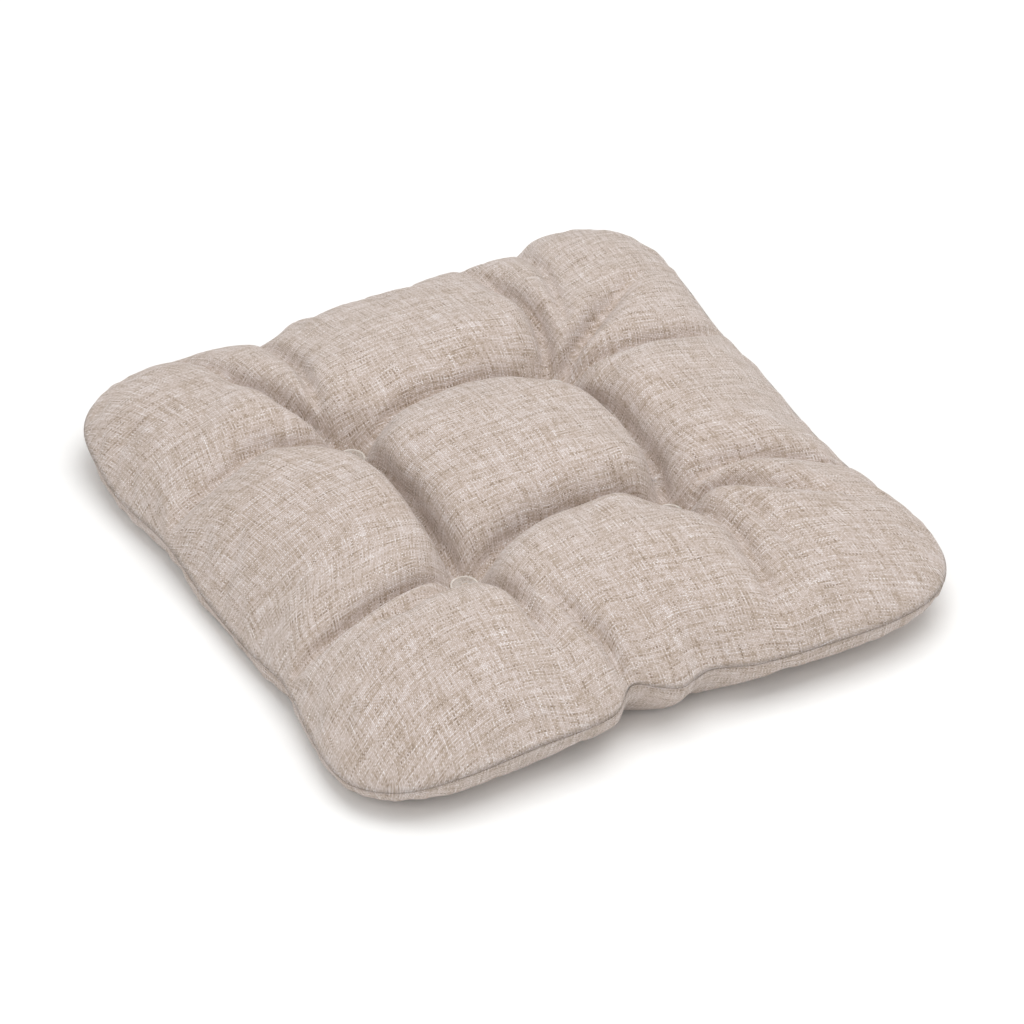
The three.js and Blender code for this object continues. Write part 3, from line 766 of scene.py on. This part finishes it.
def node(tree, kind, inputs=None, **settings):
    """Adds a shader node with its settings. inputs gives each socket, by name or number, a value or
    a link."""
    made = tree.nodes.new("ShaderNode" + kind)
    for key, value in settings.items():
        setattr(made, key, value)
    for key, value in (inputs or {}).items():
        if isinstance(value, bpy.types.NodeSocket):
            tree.links.new(value, made.inputs[key])
        else:
            made.inputs[key].default_value = value
    return made


def ramp(tree, factor, stops):
    """A colour ramp from (position, sRGB hex) stops."""
    made = node(tree, "ValToRGB", {0: factor})
    elements = made.color_ramp.elements
    while len(elements) < len(stops):
        elements.new(0.5)
    for element, (position, colour) in zip(elements, stops):
        element.position = position
    for element, (position, colour) in zip(made.color_ramp.elements, stops):
        element.color = linear(colour)
    return made.outputs["Color"]


def new_material(name):
    """An empty material, its node tree and its output."""
    material = bpy.data.materials.new(name)
    material.use_nodes = True
    tree = material.node_tree
    tree.nodes.clear()
    output = tree.nodes.new("ShaderNodeOutputMaterial")
    return material, tree, output


def linen_look_weave():
    """Linen-look plain weave, piece-dyed melange: slubby warp and weft threads of several close beiges,
    matt, with a fine crosshatch and soft darker and lighter streaks along both thread directions. The
    gaps between the threads are darkened with painted shade."""
    material, tree, output = new_material("linen_look_weave")

    def maths(operation, a, b=0.0, c=0.0):
        return node(tree, "Math", {0: a, 1: b, 2: c}, operation=operation).outputs[0]

    def noise(vector, scale, detail=2.0, rough=0.5):
        return node(
            tree, "TexNoise", {"Vector": vector, "Scale": scale, "Detail": detail, "Roughness": rough}
        ).outputs["Fac"]

    def place(x, y, z=0.0):
        return node(tree, "CombineXYZ", {0: x, 1: y, 2: z}).outputs[0]

    thread_spacing = 0.98  # mm, coarser than the real 0.8 so that it still shows
    cut = node(tree, "UVMap", uv_map="cut").outputs[0]
    in_mm = node(tree, "VectorMath", {0: cut, "Scale": 1000.0}, operation="SCALE").outputs[0]
    wander = node(tree, "TexNoise", {"Vector": in_mm, "Scale": 1 / 45, "Detail": 0.0}).outputs["Color"]
    wander = node(tree, "VectorMath", {0: wander, 1: (0.5, 0.5, 0.5)}, operation="SUBTRACT").outputs[0]
    wander = node(tree, "VectorMath", {0: wander, "Scale": 4.0}, operation="SCALE").outputs[0]
    woven = node(tree, "VectorMath", {0: in_mm, 1: wander}, operation="ADD").outputs[0]
    split = node(tree, "SeparateXYZ", {0: woven})
    x, y = split.outputs[0], split.outputs[1]
    warp_place, weft_place = maths("DIVIDE", x, thread_spacing), maths("DIVIDE", y, thread_spacing)
    warp, weft = maths("FLOOR", warp_place), maths("FLOOR", weft_place)
    warp_off = maths("PINGPONG", warp_place, 0.5)
    weft_off = maths("PINGPONG", weft_place, 0.5)
    parity = maths("PINGPONG", maths("ADD", warp, weft), 1.0)

    # tone of each thread, changing along it over a slub's length, with short flecks of fibre
    warp_tone = noise(place(maths("MULTIPLY", warp, 1.37), maths("DIVIDE", y, 17.0)), 1.0, 1.0)
    weft_tone = noise(place(maths("DIVIDE", x, 17.0), maths("MULTIPLY", weft, 1.37), 7.3), 1.0, 1.0)
    warp_fleck = noise(place(maths("MULTIPLY", warp, 1.71), maths("DIVIDE", y, 2.4), 3.1), 1.0, 1.0)
    weft_fleck = noise(place(maths("DIVIDE", x, 2.4), maths("MULTIPLY", weft, 1.71), 9.7), 1.0, 1.0)
    warp_tone = maths("MULTIPLY_ADD", warp_fleck, 0.38, maths("MULTIPLY", warp_tone, 0.62))
    weft_tone = maths("MULTIPLY_ADD", weft_fleck, 0.38, maths("MULTIPLY", weft_tone, 0.62))
    tone = node(tree, "Mix", {0: parity, 2: warp_tone, 3: weft_tone}).outputs[0]

    # soft streaks a few threads wide along warp and weft, and slow patches
    warp_streak = noise(place(maths("DIVIDE", x, 1.9), maths("DIVIDE", y, 42.0), 21.0), 1.0, 1.0)
    weft_streak = noise(place(maths("DIVIDE", x, 42.0), maths("DIVIDE", y, 1.9), 33.0), 1.0, 1.0)
    patch = noise(in_mm, 1 / 16, 2.0)
    streak = maths("ADD", maths("ADD", warp_streak, weft_streak), maths("MULTIPLY", patch, 0.2))
    tone = maths("ADD", maths("MULTIPLY", tone, 0.77), maths("MULTIPLY", streak, 0.23 / 2.2))

    # the threads' rounded tops: the upper thread at each crossing stands proud
    warp_round = maths("SINE", maths("MULTIPLY", warp_off, math.pi))
    weft_round = maths("SINE", maths("MULTIPLY", weft_off, math.pi))
    warp_height = maths("MULTIPLY", warp_round, maths("MULTIPLY_ADD", weft_round, 0.45, 0.55))
    weft_height = maths("MULTIPLY", weft_round, maths("MULTIPLY_ADD", warp_round, 0.45, 0.55))
    height = node(tree, "Mix", {0: parity, 2: warp_height, 3: weft_height}).outputs[0]

    colour = ramp(
        tree, tone,
        ((0.33, "#8f7d6d"), (0.43, "#b6a494"), (0.5, "#cabab0"), (0.57, "#d9ccc6"), (0.68, "#ede6e3")),
    )
    # painted shade: the colour is darkened towards the gaps between the threads' rounded tops, where shade
    # falls
    thread_gap_shade = maths("MULTIPLY_ADD", height, 0.30, 0.77)
    colour = node(
        tree, "Mix", {0: 1.0, 6: colour, 7: thread_gap_shade}, data_type="RGBA", blend_type="MULTIPLY"
    ).outputs[2]
    fuzz = noise(in_mm, 3.0, 2.0)
    rough = node(tree, "MapRange", {0: fuzz, 3: 0.82, 4: 0.98}).outputs[0]
    relief = maths("MULTIPLY_ADD", tone, 0.8, height)
    bump = node(
        tree, "Bump", {"Strength": 0.7, "Distance": 0.3 * MM, "Height": relief}
    ).outputs[0]
    shader = node(
        tree, "BsdfPrincipled",
        {"Base Color": colour, "Roughness": rough, "Normal": bump, "IOR": 1.46,
         "Specular IOR Level": 0.25, "Sheen Weight": 0.25, "Sheen Roughness": 0.5},
    )
    tree.links.new(shader.outputs[0], output.inputs["Surface"])
    return material


def polyester_fibre():
    """Loose siliconised polyester fibre: white, matt, matted strands with soft hollows."""
    material, tree, output = new_material("polyester_fibre_fill")
    here = node(tree, "TexCoord").outputs["Object"]
    strands = node(tree, "TexNoise", {"Vector": here, "Scale": 900.0, "Detail": 6.0, "Distortion": 1.5})
    tufts = node(tree, "TexVoronoi", {"Vector": here, "Scale": 70.0})
    colour = ramp(tree, strands.outputs["Fac"], ((0.3, "#dcdad2"), (0.55, "#f1f0ea"), (0.75, "#fbfbf8")))
    relief = node(tree, "Math", {0: strands.outputs["Fac"], 1: tufts.outputs["Distance"]}, operation="ADD")
    bump = node(tree, "Bump", {"Strength": 0.8, "Distance": 1.0 * MM, "Height": relief.outputs[0]})
    shader = node(
        tree, "BsdfPrincipled",
        {"Base Color": colour, "Roughness": 0.95, "Normal": bump.outputs[0], "Sheen Weight": 0.5},
    )
    tree.links.new(shader.outputs[0], output.inputs["Surface"])
    return material


def moulded_clear_plastic(name, opacity):
    """Clear moulded polyester button: glossy, with faint flow streaks and fine handling scratches. The thin
    floor all but disappears. On the thick rim a more opaque copy shows its pale colour as a painted
    highlight for the light that the rim gathers."""
    material, tree, output = new_material(name)
    here = node(tree, "TexCoord").outputs["Object"]
    flow = node(tree, "TexNoise", {"Vector": here, "Scale": 260.0, "Detail": 3.0, "Distortion": 0.8})
    colour = ramp(tree, flow.outputs["Fac"], ((0.3, "#f1ece4"), (0.7, "#fffdf8")))
    scratches = node(tree, "TexNoise", {"Vector": here, "Scale": 2600.0, "Detail": 3.0})
    rough = node(tree, "MapRange", {0: scratches.outputs["Fac"], 3: 0.04, 4: 0.2})
    bump = node(tree, "Bump", {"Strength": 0.15, "Distance": 0.05 * MM, "Height": flow.outputs["Fac"]})
    shader = node(
        tree, "BsdfPrincipled",
        {"Base Color": colour, "Roughness": rough.outputs[0], "Normal": bump.outputs[0],
         "IOR": 1.54, "Alpha": opacity},
    )
    tree.links.new(shader.outputs[0], output.inputs["Surface"])
    return material


def spun_thread(name, dark, light, spacing):
    """Spun polyester sewing thread: matt, with the fine slant lines of its twist."""
    material, tree, output = new_material(name)
    here = node(tree, "TexCoord").outputs["Object"]
    fibres = node(tree, "TexNoise", {"Vector": here, "Scale": 1000.0 / spacing, "Detail": 4.0})
    colour = ramp(tree, fibres.outputs["Fac"], ((0.35, dark), (0.65, light)))
    bump = node(
        tree, "Bump", {"Strength": 0.5, "Distance": 0.08 * MM, "Height": fibres.outputs["Fac"]}
    )
    shader = node(
        tree, "BsdfPrincipled",
        {"Base Color": colour, "Roughness": 0.75, "Normal": bump.outputs[0], "Sheen Weight": 0.2},
    )
    tree.links.new(shader.outputs[0], output.inputs["Surface"])
    return material


WEAVE = linen_look_weave()
FIBRE = polyester_fibre()
PLASTIC = moulded_clear_plastic("moulded_clear_plastic", 0.14)
# painted highlight: the rim's copy is three times as opaque, so its pale colour shows on the thick rim
PLASTIC_RIM_HIGHLIGHT = moulded_clear_plastic("moulded_clear_plastic_rim_highlight", 0.42)
# partly painted shade: the seam thread's darker beiges are set near the fabric's colour in shade, so they
# hold the thread's own colour and painted seam shade together
SEAM_THREAD = spun_thread("spun_seam_thread_shade_toned", "#8d7a69", "#a89584", 0.5)
TWINE = spun_thread("waxed_tufting_twine", "#a08d7b", "#cbbba9", 0.8)


def finish_piece(piece, material, slot, *nodes):
    """Gives a piece its finish and its place in the frame."""
    piece.data.materials.clear()
    piece.data.materials.append(material)
    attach(piece, "root")
    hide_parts(*nodes)


finish_piece(top_cover, WEAVE, "linen_look_fabric", "top_cover_panel")
finish_piece(bottom_cover, WEAVE, "linen_look_fabric", "bottom_cover_panel")
finish_piece(filling, FIBRE, "polyester_fibre", "fibre_filling")
# the seam threads carry painted seam shade in their colour
finish_piece(edge_thread, SEAM_THREAD, "sewing_thread", "edge_seam_thread")
finish_piece(closing_thread, SEAM_THREAD, "sewing_thread", "closing_seam_thread")
for tuft in TUFTS:
    finish_piece(top_buttons[tuft], PLASTIC, "clear_plastic", "top_button_" + tuft)
    finish_piece(bottom_buttons[tuft], PLASTIC, "clear_plastic", "bottom_button_" + tuft)
    finish_piece(twines[tuft], TWINE, "sewing_thread", "tuft_twine_" + tuft)
    cx, cy = TUFT_PLACES[tuft][:2]
    for button in (top_buttons[tuft], bottom_buttons[tuft]):
        # the rim faces take the more opaque copy, which is a painted highlight
        button.data.materials.append(PLASTIC_RIM_HIGHLIGHT)
        for face in button.data.polygons:
            on_rim = math.hypot(face.center.x - cx, face.center.y - cy) > BUTTON_RADIUS - RIM_WIDTH
            face.material_index = 1 if on_rim else 0


# ---------------------------------------------------------------- floor, light and camera
def pale_floor():
    """A matt white painted floor."""
    bpy.ops.object.select_all(action="DESELECT")
    bpy.ops.mesh.primitive_grid_add(x_subdivisions=2, y_subdivisions=2, size=6, location=(0, 0, 0))
    floor = bpy.context.object
    floor.name = "studio_floor"
    material, tree, output = new_material("matt_white_floor")
    here = node(tree, "TexCoord").outputs["Object"]
    grain = node(tree, "TexNoise", {"Vector": here, "Scale": 40.0, "Detail": 2.0})
    colour = ramp(tree, grain.outputs["Fac"], ((0.3, "#f6f6f5"), (0.7, "#f8f8f7")))
    shader = node(tree, "BsdfPrincipled", {"Base Color": colour, "Roughness": 0.9})
    tree.links.new(shader.outputs[0], output.inputs["Surface"])
    floor.data.materials.append(material)
    return floor


def soft_light(name, place, size, power):
    """A square softbox that faces the pad."""
    light = bpy.data.lights.new(name, "AREA")
    light.shape = "SQUARE"
    light.size = size
    light.energy = power
    lamp = bpy.data.objects.new(name, light)
    bpy.context.collection.objects.link(lamp)
    lamp.location = place
    lamp.rotation_euler = (-Vector(place)).to_track_quat("-Z", "Y").to_euler()
    return lamp


SURROUND_STRENGTH = 0.64

pale_floor()
soft_light("overhead_softbox", (0.4, 0.0, 2.2), 2.0, 32)
soft_light("front_softbox", (-1.6, -1.4, 1.5), 1.6, 9)
world = bpy.data.worlds.new("studio_surround")
world.use_nodes = True
surround = world.node_tree.nodes["Background"]
surround.inputs["Color"].default_value = linear("#ffffff")
surround.inputs["Strength"].default_value = SURROUND_STRENGTH
bpy.context.scene.world = world
bpy.context.scene.view_settings.view_transform = "Standard"

CAMERA_AZIMUTH = -29.4  # degrees round from the front, positive towards the pad's right
CAMERA_ELEVATION = 38.4
CAMERA_DISTANCE = 5.28
CAMERA_SENSOR = 36  # mm
CAMERA_LENS = 322.805  # mm
CAMERA_ASIDE = 1.4 * MM
CAMERA_RAISED = -8.4 * MM
AIM_HEIGHT = 30 * MM


def studio_camera():
    """The camera, far off with a long lens."""
    turn, lift = math.radians(CAMERA_AZIMUTH), math.radians(CAMERA_ELEVATION)
    back = Vector((math.sin(turn) * math.cos(lift), -math.cos(turn) * math.cos(lift), math.sin(lift)))
    right = Vector((math.cos(turn), math.sin(turn), 0))
    up = back.cross(right)
    aim = Vector((0, 0, AIM_HEIGHT)) + right * CAMERA_ASIDE + up * CAMERA_RAISED
    lens = bpy.data.cameras.new("studio_camera")
    lens.sensor_width = CAMERA_SENSOR
    lens.lens = CAMERA_LENS
    lens.clip_end = 20
    camera = bpy.data.objects.new("studio_camera", lens)
    bpy.context.collection.objects.link(camera)
    camera.location = aim + back * CAMERA_DISTANCE
    camera.rotation_euler = Matrix((right, up, back)).transposed().to_euler()
    bpy.context.scene.camera = camera


studio_camera()
